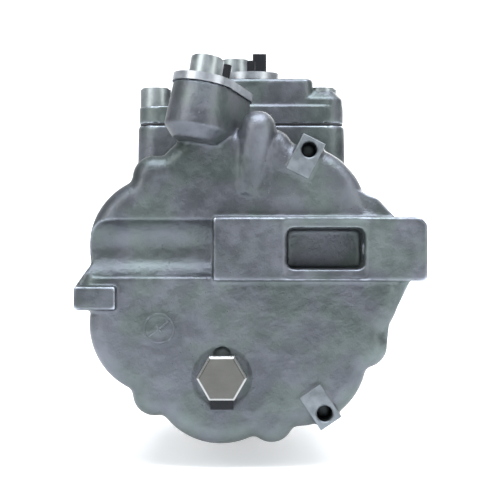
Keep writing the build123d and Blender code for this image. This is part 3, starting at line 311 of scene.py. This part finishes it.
def cast_finish(name, dark, light, worn_and_highlight, roughness):
    """Die-cast skin: clouds, blotches, grain, pits, edges lightened by wear and painted highlight, hollows
    darkened by painted shade and grime.
    """
    cast = Finish(name, Metallic=0.8)
    clouds = cast.noise(34 * MM, 4.0, (1, 1, 1.5))
    blotches = cast.noise(7 * MM, 5.0).ramp(0.36, 0.7)
    grain = cast.noise(0.8 * MM, 3.0)
    pits = 1 - cast.cells(3.1 * MM).ramp(0.0, 0.13)
    edge = cast.edges()
    # Convex edges, found by pointiness, are lightened towards a bluish white: partly wear, partly painted
    # highlight.
    wear_and_highlight = edge.ramp(0.512, 0.585) * cast.noise(3 * MM, 4.0).ramp(0.25, 0.6)
    # Hollows, found by pointiness, are marked for darkening: painted shade and grime.
    grime_and_shade = 1 - edge.ramp(0.43, 0.495)
    skin = cast.mix(clouds.ramp(0.3, 0.72) * 0.6 + blotches * 0.25 + grain * 0.15, dark, light)
    tint = cast.mix(cast.noise(19 * MM, 3.0).ramp(0.38, 0.62), GREEN_CAST, LILAC_CAST)
    tinting = {"data_type": "RGBA", "blend_type": "MULTIPLY"}
    skin = cast.add("ShaderNodeMix", tinting, {0: 1.0, 6: skin, 7: tint}, 2)
    # The edges take the bluish white of wear and painted highlight.
    skin = cast.mix(wear_and_highlight * 0.85, skin, worn_and_highlight)
    # Hollows go towards near black as painted shade and grime, and the casting pits darken a little too.
    skin = cast.mix(grime_and_shade * 0.75 + pits * 0.35, skin, tone(0.025, 0.028, 0.034))
    cast.out("Base Color", skin)
    cast.out("Roughness", roughness + 0.12 * blotches - 0.1 * wear_and_highlight + 0.2 * grime_and_shade + 0.08 * grain)
    flow = cast.bump(clouds * 0.6 + blotches * 0.4, 0.4 * MM)
    cast.out("Normal", cast.bump(grain - 1.5 * pits, 0.08 * MM, flow))
    return cast.material


# The bluish white that edges take, standing for both wear and a painted highlight.
CAST_WORN_AND_HIGHLIGHT = tone(0.62, 0.67, 0.76)
CAST_DARK, CAST_LIGHT = tone(0.062, 0.07, 0.075), tone(0.15, 0.166, 0.175)
cast_skin = cast_finish("cast_skin", CAST_DARK, CAST_LIGHT, CAST_WORN_AND_HIGHLIGHT, 0.34)
# The foundry mark's edges take a dimmer tone for their wear and painted highlight.
mark_skin = cast_finish("mark_skin", CAST_DARK, CAST_LIGHT, tone(0.13, 0.145, 0.155), 0.42)
print("cast skin made")

# %% [markdown]
# ## Machined aluminium
#
# Where a casting meets another part it is milled or bored bright. A cutter leaves very fine, even
# marks, so a wave pattern a few tenths of a millimetre apart is bent a little by noise and used
# mostly for roughness and relief, and only faintly for colour.

# %% Machined and turned metal
def turned_finish(name, dark, light, roughness, pitch, metallic=0.95, relief=0.01 * MM):
    """Bare metal with fine cutting marks, stains and a few scratches."""
    metal = Finish(name, Metallic=metallic)
    marks = metal.rings(pitch)
    stains = metal.noise(5 * MM, 4.0).ramp(0.35, 0.72)
    scratches = 1 - metal.noise(1.2 * MM, 2.0, (1, 1, 14)).ramp(0.3, 0.37)
    metal.out("Base Color", metal.mix(stains * 0.7 + marks * 0.3, dark, light))
    metal.out("Roughness", roughness + 0.12 * stains + 0.08 * marks + 0.1 * scratches)
    metal.out("Normal", metal.bump(marks - 0.6 * scratches, relief))
    return metal.material


def plated_finish(name, dark, light, roughness):
    """Dull plated or milled metal: soft stains, short brush marks and a faint relief."""
    metal = Finish(name, Metallic=0.92)
    stains = metal.noise(4 * MM, 5.0).ramp(0.3, 0.7)
    brushed = metal.noise(0.7 * MM, 3.0, (1, 1, 0.2))
    metal.out("Base Color", metal.mix(stains * 0.75 + brushed * 0.25, dark, light))
    metal.out("Roughness", roughness + 0.12 * stains + 0.1 * brushed)
    metal.out("Normal", metal.bump(stains * 0.6 + brushed * 0.4, 0.02 * MM))
    return metal.material


FINISHES = {
    "cast_aluminium": cast_skin,
    "machined_aluminium": turned_finish(
        "machined_aluminium", tone(0.3, 0.32, 0.34), tone(0.44, 0.46, 0.49), 0.26, 0.35 * MM
    ),
    "zinc_steel": plated_finish("zinc_steel", tone(0.25, 0.275, 0.28), tone(0.36, 0.395, 0.4), 0.27),
    "milled_pad": plated_finish("milled_pad", tone(0.13, 0.145, 0.155), tone(0.22, 0.24, 0.255), 0.36),
    "dark_steel": turned_finish(
        "dark_steel", tone(0.03, 0.03, 0.032), tone(0.07, 0.07, 0.075), 0.38, 0.4 * MM, 0.75
    ),
    "bright_steel": turned_finish(
        "bright_steel", tone(0.2, 0.2, 0.205), tone(0.34, 0.34, 0.35), 0.2, 0.12 * MM
    ),
    "spring_steel": turned_finish(
        "spring_steel", tone(0.13, 0.15, 0.2), tone(0.3, 0.31, 0.34), 0.3, 0.3 * MM
    ),
}
print("metals:", sorted(FINISHES))

# %% [markdown]
# ## Iron, paint, resin, plastic, rubber and gasket
#
# The pulley is painted, but its friction face is rubbed to bare iron by the clutch plate, in rings
# around the shaft. The coil is potted in dark resin, the plug is glass-filled nylon, the port caps
# are rubber, and the gaskets are coated steel. Each is a quieter version of the same patterns.

# %% Iron that slides on iron
def rubbed_iron(name, coat, start, end):
    """Iron under a coat, worn bright between two distances from the shaft on its flat faces."""
    iron = Finish(name)
    radius = iron.from_shaft()
    face = iron.add("ShaderNodeSeparateXYZ", {}, {0: iron.add("ShaderNodeNewGeometry", {}, {}, "Normal")}, 1)
    flat = (face ** 2).ramp(0.8, 0.97)
    track = radius.ramp(start, start + 0.8 * MM) * (1 - radius.ramp(end - 0.8 * MM, end)) * flat
    scores = iron.noise(0.35 * MM, 2.0, (1, 1, 1))
    rings = iron.add("ShaderNodeTexNoise", {"noise_dimensions": "1D"}, {"W": radius * 2600.0, "Detail": 3.0})
    stains = iron.noise(9 * MM, 5.0).ramp(0.35, 0.7)
    bare = iron.mix(rings, tone(0.1, 0.097, 0.093), tone(0.26, 0.255, 0.248))
    under = iron.mix(stains, coat, tone(*(1.9 * part + 0.004 for part in coat[:3])))
    iron.out("Base Color", iron.mix(track, under, bare))
    iron.out("Metallic", 0.25 + 0.7 * track)
    iron.out("Roughness", 0.42 + 0.12 * stains - 0.16 * track + 0.12 * rings * track)
    iron.out("Normal", iron.bump(scores * 0.4 + rings * track, 0.03 * MM))
    return iron.material


def moulded(name, dark, light, roughness, grain_size, relief):
    """Plastic, rubber or resin: one dark colour with a fine texture and dusty patches."""
    skin = Finish(name, Specular_IOR_Level=0.25)
    dust = skin.noise(8 * MM, 4.0).ramp(0.4, 0.75)
    texture = skin.noise(grain_size, 3.0)
    skin.out("Base Color", skin.mix(dust * 0.6 + texture * 0.4, dark, light))
    skin.out("Roughness", roughness + 0.15 * dust + 0.1 * texture)
    skin.out("Normal", skin.bump(texture, relief))
    return skin.material


PAINT = tone(0.016, 0.016, 0.018)
FINISHES["iron"] = rubbed_iron("iron", tone(0.09, 0.085, 0.08), 24 * MM, 48 * MM)
FINISHES["painted_pulley"] = rubbed_iron("painted_pulley", PAINT, 30.5 * MM, 48.8 * MM)
MOULDED = (
    # name, dark, light, roughness, grain size, relief
    ("coil_resin", tone(0.02, 0.022, 0.026), tone(0.05, 0.052, 0.058), 0.4, 1.5 * MM, 0.05 * MM),
    ("black_plastic", tone(0.004, 0.005, 0.007), tone(0.014, 0.015, 0.018), 0.42, 0.4 * MM, 0.03 * MM),
    ("black_rubber", tone(0.003, 0.0035, 0.005), tone(0.01, 0.0105, 0.013), 0.62, 0.3 * MM, 0.03 * MM),
    ("gasket", tone(0.03, 0.032, 0.034), tone(0.09, 0.092, 0.095), 0.55, 0.5 * MM, 0.02 * MM),
)
for name, *values in MOULDED:
    FINISHES[name] = moulded(name, *values)
print("finishes:", len(FINISHES))

# %% [markdown]
# ## The relief valve's two tones
#
# The hexagon is plated steel that has gone brownish on its broad face, while the chamfers and the
# flats stay bright where the spanner bears. The face is told from the chamfer by its place.

# %% Valve steel
valve_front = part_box("relief_valve_body")[0].y
valve = Finish("valve_steel", Metallic=0.9)
behind_face = valve.along(1).ramp(valve_front + 0.3 * MM, valve_front + 0.42 * MM)
brushed = valve.noise(0.5 * MM, 3.0, (0.12, 1, 1))
tarnish = valve.noise(6 * MM, 4.0)
face_tone = valve.mix(tarnish * 0.7 + brushed * 0.3, tone(0.085, 0.083, 0.075), tone(0.15, 0.148, 0.136))
valve.out("Base Color", valve.mix(behind_face, face_tone, tone(0.36, 0.36, 0.345)))
valve.out("Roughness", 0.34 + 0.1 * brushed - 0.1 * behind_face)
valve.out("Normal", valve.bump(brushed, 0.012 * MM))
FINISHES["valve_steel"] = valve.material

# %% [markdown]
# ## Giving the CAD parts their finish
#
# The record that comes with the CAD says which material each part is made of, so one loop dresses
# every part whose shape stays as it is.

# %% Dress the CAD parts
slot_of = {part["node"]: part["material_slot"] for part in frame["record"]["subparts"]}
for name, thing in nodes.items():
    thing.data.materials.clear()
    thing.data.materials.append(FINISHES[slot_of[name]])
print("dressed:", len(slot_of))

# %% [markdown]
# ## Softening a casting
#
# Nothing comes out of a die with a sharp corner, yet the CAD has many. A voxel remesh of a copy
# of the CAD part makes one even skin, a few rounds of Smooth pull its corners and joints into
# fillets, and Decimate takes away the triangles that flat faces don't need.

# %% Castings
def softened(node, voxel, rounds, keep):
    """A copy of a cast CAD part with the fillets of a casting."""
    source = nodes[node]
    piece = bpy.data.objects.new(node + "_casting", source.data.copy())
    bpy.context.scene.collection.objects.link(piece)
    activate(piece)
    bpy.ops.object.mode_set(mode="EDIT")
    bpy.ops.mesh.select_all(action="SELECT")
    bpy.ops.mesh.remove_doubles(threshold=0.002 * MM)
    bpy.ops.object.mode_set(mode="OBJECT")
    remesh = piece.modifiers.new("skin", "REMESH")
    remesh.mode = "VOXEL"
    remesh.voxel_size = voxel
    smooth = piece.modifiers.new("fillets", "SMOOTH")
    smooth.factor = 0.5
    smooth.iterations = rounds
    thin = piece.modifiers.new("thin", "DECIMATE")
    thin.ratio = keep
    apply_all(piece)
    bpy.ops.object.shade_smooth()
    piece.data.materials.clear()
    piece.data.materials.append(cast_skin)
    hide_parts(node)
    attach(piece, "housing")
    print(piece.name, "triangles:", sum(len(p.vertices) - 2 for p in piece.data.polygons))
    return piece


CASTINGS = (
    # part, voxel, smoothing rounds, share of faces kept
    ("rear_housing", 0.75 * MM, 8, 0.4),
    ("cylinder_block", 1.0 * MM, 5, 0.4),
    ("front_housing", 1.0 * MM, 5, 0.4),
    ("top_cover", 0.7 * MM, 4, 0.5),
)
castings = {node: softened(node, voxel, rounds, keep) for node, voxel, rounds, keep in CASTINGS}

# %% [markdown]
# ## Working on a mesh by hand
#
# The small pieces are modelled as one would by hand: add a primitive, pick faces, inset, extrude,
# scale. In code the picking is done by a rule on each face's place, so one helper selects faces
# and leaves edit mode open for the next tool. Another drops a finished piece into its place.

# %% Helpers for hand modelling
def pick(thing, rule):
    """Opens edit mode with the faces selected for which rule(face) is true."""
    activate(thing)
    bpy.ops.object.mode_set(mode="EDIT")
    bpy.ops.mesh.select_mode(type="FACE")
    bpy.ops.mesh.select_all(action="DESELECT")
    bpy.ops.object.mode_set(mode="OBJECT")
    for face in thing.data.polygons:
        face.select = rule(face)
    bpy.ops.object.mode_set(mode="EDIT")


def done():
    bpy.ops.object.mode_set(mode="OBJECT")


def add_bar(radius, low, high, sides=64):
    """A round bar along z from low to high."""
    bpy.ops.object.select_all(action="DESELECT")
    bpy.ops.mesh.primitive_cylinder_add(
        vertices=sides, radius=radius, depth=high - low, location=(0, 0, (low + high) / 2)
    )
    bar = bpy.context.object
    bpy.ops.object.transform_apply(location=True, rotation=True, scale=True)
    return bar


def cut(thing, tool):
    """Takes the tool's shape out of a piece."""
    hole = thing.modifiers.new("cut", "BOOLEAN")
    hole.operation = "DIFFERENCE"
    hole.solver = "EXACT"
    hole.object = tool
    apply_all(thing)
    bpy.data.objects.remove(tool)


def settle(thing, name, slot, matrix, body="housing", replaced=(), angle=35):
    """Names a piece, moves its mesh into place, dresses it and lets it ride on its body."""
    thing.name = name
    thing.data.name = name
    thing.data.transform(matrix)
    thing.data.materials.clear()
    thing.data.materials.append(FINISHES[slot])
    activate(thing)
    bpy.ops.object.shade_smooth_by_angle(angle=math.radians(angle))
    if replaced:
        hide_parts(*replaced)
    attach(thing, body)
    return thing


def copy_of(thing):
    """A second piece with its own mesh."""
    twin = bpy.data.objects.new(thing.name, thing.data.copy())
    bpy.context.scene.collection.objects.link(twin)
    return twin


def facing(origin, direction):
    """Matrix that puts z along direction, at origin."""
    turn = Vector(direction).to_track_quat("Z", "Y").to_matrix().to_4x4()
    return Matrix.Translation(origin) @ turn


# %% [markdown]
# ## Cap screws
#
# A cap screw has a tall round head with a knurled side, a small chamfer and a hexagon socket. The
# knurl is made by drawing every second pair of points a little inwards, the chamfer by insetting
# the top face, and the socket by cutting with a six-sided bar. The same steps, with other sizes,
# make the long screws that pull the castings together.

# %% Cap screws
def cap_screw(head_radius, head_height, socket, shank_radius, shank_length, knurls):
    """A cap screw along z whose head stands on z = 0."""
    screw = add_bar(head_radius, 0, head_height, 2 * knurls)
    for point in screw.data.vertices:
        turn = round(math.atan2(point.co.y, point.co.x) / (math.pi / knurls))
        if turn % 2:
            point.co.x *= 0.985
            point.co.y *= 0.985
    for rule in (lambda face: face.normal.z > 0.9, lambda face: face.normal.z < -0.9):
        pick(screw, rule)
        bpy.ops.mesh.inset(thickness=0.12 * head_radius, depth=0)
        bpy.ops.mesh.inset(thickness=0.01 * MM, depth=0.09 * head_radius)
        done()
    pick(screw, lambda face: face.normal.z < -0.9 and face.center.xy.length < 0.1 * MM)
    bpy.ops.mesh.inset(thickness=0.87 * head_radius - shank_radius, depth=0)
    bpy.ops.mesh.extrude_region_shrink_fatten(TRANSFORM_OT_shrink_fatten={"value": shank_length})
    done()
    cut(screw, add_bar(socket, head_height - 0.62 * head_radius, head_height + 3 * MM, 6))
    return screw


HEAD_RADIUS, HEAD_HEIGHT = 7.1 * MM, 8.6 * MM
cover_low, cover_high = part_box("cover_screws")
seat_z = cover_high.z - HEAD_HEIGHT
short_screw = cap_screw(HEAD_RADIUS, HEAD_HEIGHT, 3.6 * MM, 3.9 * MM, seat_z - cover_low.z, 44)
places = [
    (x, y, seat_z)
    for x in (cover_low.x + HEAD_RADIUS, cover_high.x - HEAD_RADIUS)
    for y in (cover_low.y + HEAD_RADIUS, cover_high.y - HEAD_RADIUS)
]
for number, place in enumerate(places, 1):
    settle(
        copy_of(short_screw), f"cover_screw_{number}", "zinc_steel",
        Matrix.Translation(place), replaced=("cover_screws",),
    )

# The two ports: where each flange lies and which way it faces.
BLANK = 3.4 * MM
FLANGE_SPACING = 20.5 * MM
lean = Vector((math.tan(math.radians(9.5)), math.tan(math.radians(5.0)), 1.0)).normalized()
along = Vector((-0.42, -1.0, 0.0))
along = (along - lean * along.dot(lean)).normalized()
top_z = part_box("top_cover")[1].z
head_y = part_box("head_gasket")[0].y
suction_origin = Vector((4.5 * MM, head_y + 20 * MM, top_z))
PORTS = (
    ("discharge", Vector((-8.4 * MM, REAR_FACE_Y + 20 * MM, 82.2 * MM)), lean, along),
    ("suction", suction_origin, Vector((0, 0, 1)), Vector((-0.4, 1.0, 0)).normalized()),
)
for port, origin, normal, toward in PORTS:
    seat = origin + normal * BLANK + toward * FLANGE_SPACING
    settle(
        copy_of(short_screw), f"{port}_port_screw", "zinc_steel",
        facing(seat, normal), replaced=("port_screws",),
    )
bpy.data.objects.remove(short_screw)
print("cover screws seat at z in mm:", round(seat_z / MM, 2))

# %% [markdown]
# ## Through bolts
#
# Seven long screws run from pockets in the front housing through every casting into the rear one.
# They are the same kind of screw with a smaller head, modelled once and copied round the circle.

# %% Through bolts
THROUGH_HEAD, THROUGH_HEIGHT = 5.6 * MM, 6.0 * MM
BOLT_CIRCLE = 59.5 * MM
CYLINDERS = 7
bolt_low, bolt_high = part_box("through_bolts")
bolt_seat = bolt_high.y - THROUGH_HEIGHT
long_screw = cap_screw(THROUGH_HEAD, THROUGH_HEIGHT, 2.9 * MM, 3.0 * MM, bolt_seat - bolt_low.y, 36)
for number in range(CYLINDERS):
    angle = math.pi * (2 * number + 1) / CYLINDERS
    place = Vector((BOLT_CIRCLE * math.cos(angle), bolt_seat, BOLT_CIRCLE * math.sin(angle)))
    settle(
        copy_of(long_screw), f"through_bolt_{number + 1}", slot_of["through_bolts"],
        facing(place, (0, 1, 0)), replaced=("through_bolts",),
    )
bpy.data.objects.remove(long_screw)
print("through bolts seat at y in mm:", round(bolt_seat / MM, 2))

# %% [markdown]
# ## Fixing pads
#
# Two small pads on the rear casting are milled flat and drilled and tapped, so brackets can be
# screwed on. They stand out sharp against the soft casting: a plate is added as a cube, its edges
# bevelled a little, and its hole is cut with a bar and then with a cone that opens its mouth.

# %% Fixing pads
PAD_SIZE = (16.6 * MM, 10.6 * MM)
PAD_RADIUS, PAD_HOLE_SHIFT, PAD_HOLE = 61.8 * MM, 3.2 * MM, 3.4 * MM
PAD_DEPTH, PAD_PROUD = 3.0 * MM, 0.2 * MM


def fixing_pad(name, angle):
    """A milled plate on the rear face, with its long side along the radius at angle."""
    mouth_radius = PAD_HOLE + 0.6 * MM
    bpy.ops.object.select_all(action="DESELECT")
    bpy.ops.mesh.primitive_cube_add(size=1, location=(0, 0, -PAD_DEPTH / 2))
    plate = bpy.context.object
    plate.scale = (*PAD_SIZE, PAD_DEPTH)
    bpy.ops.object.transform_apply(location=True, rotation=True, scale=True)
    soften = plate.modifiers.new("edge", "BEVEL")
    soften.width = 0.35 * MM
    soften.segments = 3
    apply_all(plate)
    mouth = add_bar(mouth_radius, -PAD_DEPTH - MM, 0.01 * MM, 48)
    pick(mouth, lambda face: face.normal.z < -0.9)
    bpy.ops.transform.resize(value=(0.1, 0.1, 1))
    done()
    mouth.data.transform(Matrix.Translation((PAD_HOLE_SHIFT, 0, 0)))
    shaft = add_bar(PAD_HOLE + 0.05 * MM, -PAD_DEPTH - MM, MM, 48)
    shaft.data.transform(Matrix.Translation((PAD_HOLE_SHIFT, 0, 0)))
    for point in mouth.data.vertices:
        if point.co.z < -PAD_DEPTH:
            point.co.z = -0.9 * mouth_radius
    cut(plate, shaft)
    cut(plate, mouth)
    turn = Matrix.Rotation(-math.radians(angle), 4, "Y")
    upright = Matrix(((1, 0, 0, 0), (0, 0, -1, 0), (0, 1, 0, 0), (0, 0, 0, 1)))
    out = Matrix.Translation((PAD_RADIUS, 0, 0))
    stand = Matrix.Translation((0, pad_face_y - PAD_PROUD, 0))
    settle(plate, name, "machined_aluminium", stand @ turn @ out @ upright)
    plate.data.materials[0] = FINISHES["milled_pad"]
    return plate


pad_face_y = next(m for m in frame["record"]["mounts"] if m["name"] == "upper_pad_face")["pos_m"][1]
fixing_pad("upper_fixing_pad", 63.3)
fixing_pad("lower_fixing_pad", -56.6)
print("pads face at y in mm:", round(pad_face_y / MM, 2))

# %% [markdown]
# ## Foundry circle
#
# The die leaves a plain date circle on the face: a raised ring with a line across it. It is a low
# disc whose top is inset three times and pushed down, which leaves a ring, and two thin bars lie
# in it. A small bevel rounds them all.

# %% Foundry circle
CIRCLE_X, CIRCLE_Z, CIRCLE_RADIUS, CIRCLE_HEIGHT = -34.8 * MM, -18.3 * MM, 6.9 * MM, 0.5 * MM
circle = add_bar(CIRCLE_RADIUS, -0.6 * MM, CIRCLE_HEIGHT, 72)
pick(circle, lambda face: face.normal.z > 0.9)
bpy.ops.mesh.inset(thickness=0.35 * MM, depth=0)
bpy.ops.mesh.inset(thickness=0.6 * MM, depth=0)
bpy.ops.mesh.inset(thickness=0.3 * MM, depth=-0.9 * CIRCLE_HEIGHT)
done()
pick(circle, lambda face: face.normal.z > 0.9 and face.center.xy.length < 0.1 * MM)
bpy.ops.mesh.delete(type="FACE")
done()
pick(circle, lambda face: face.normal.z < -0.9)
bpy.ops.mesh.delete(type="FACE")
done()
bars = [circle]
for turn, length in ((38, 11.0), (128, 4.0)):
    bpy.ops.object.select_all(action="DESELECT")
    bpy.ops.mesh.primitive_cube_add(size=1, location=(0, 0, 0))
    bar = bpy.context.object
    bar.scale = (length * MM, 0.9 * MM, 1.0 * MM)
    bar.rotation_euler = (0, 0, math.radians(turn))
    bpy.ops.object.transform_apply(location=True, rotation=True, scale=True)
    bars.append(bar)
activate(circle)
for bar in bars:
    bar.select_set(True)
bpy.ops.object.join()
rounded = circle.modifiers.new("rounded", "BEVEL")
rounded.width = 0.25 * MM
rounded.segments = 2
apply_all(circle)
on_face = facing((CIRCLE_X, REAR_FACE_Y, CIRCLE_Z), (0, -1, 0))
settle(circle, "foundry_circle", "cast_aluminium", on_face, angle=50)
circle.data.materials[0] = mark_skin
print("foundry circle across in mm:", round(2 * CIRCLE_RADIUS / MM, 1))

# %% [markdown]
# ## Bore collars
#
# The long fixing bolt passes through the mounting block, whose bore has a short machined sleeve at
# each end. A bar is bored through and its rims are bevelled, so it shows as a bright collar.

# %% Bore collars
mounts = {mount["name"]: mount for mount in frame["record"]["mounts"]}
BLOCK_LEFT, BLOCK_RIGHT = -11.3 * MM, 78.5 * MM
SLEEVE_RADIUS, BORE_RADIUS, SLEEVE_LENGTH = 5.9 * MM, 4.5 * MM, 6 * MM
bore = mounts["rear_mount_bore"]["pos_m"]


def collar(name, x, outward, length):
    """A short sleeve in the block's bore, whose chamfered end is flush with the block's side."""
    sleeve = add_bar(SLEEVE_RADIUS, -length, 0.0, 64)
    pick(sleeve, lambda face: face.normal.z > 0.9)
    bpy.ops.mesh.inset(thickness=0.3 * MM, depth=0)
    done()
    cut(sleeve, add_bar(BORE_RADIUS, -length - MM, MM, 64))
    rim = sleeve.modifiers.new("rim", "BEVEL")
    rim.width = 0.3 * MM
    rim.segments = 2
    rim.limit_method = "ANGLE"
    apply_all(sleeve)
    settle(sleeve, name, "machined_aluminium", facing((x, bore[1], bore[2]), (outward, 0, 0)))


collar("block_collar_right", BLOCK_RIGHT, 1, SLEEVE_LENGTH)
collar("block_collar_left", BLOCK_LEFT, -1, SLEEVE_LENGTH)
print("collars at x in mm:", round(BLOCK_LEFT / MM, 1), round(BLOCK_RIGHT / MM, 1))
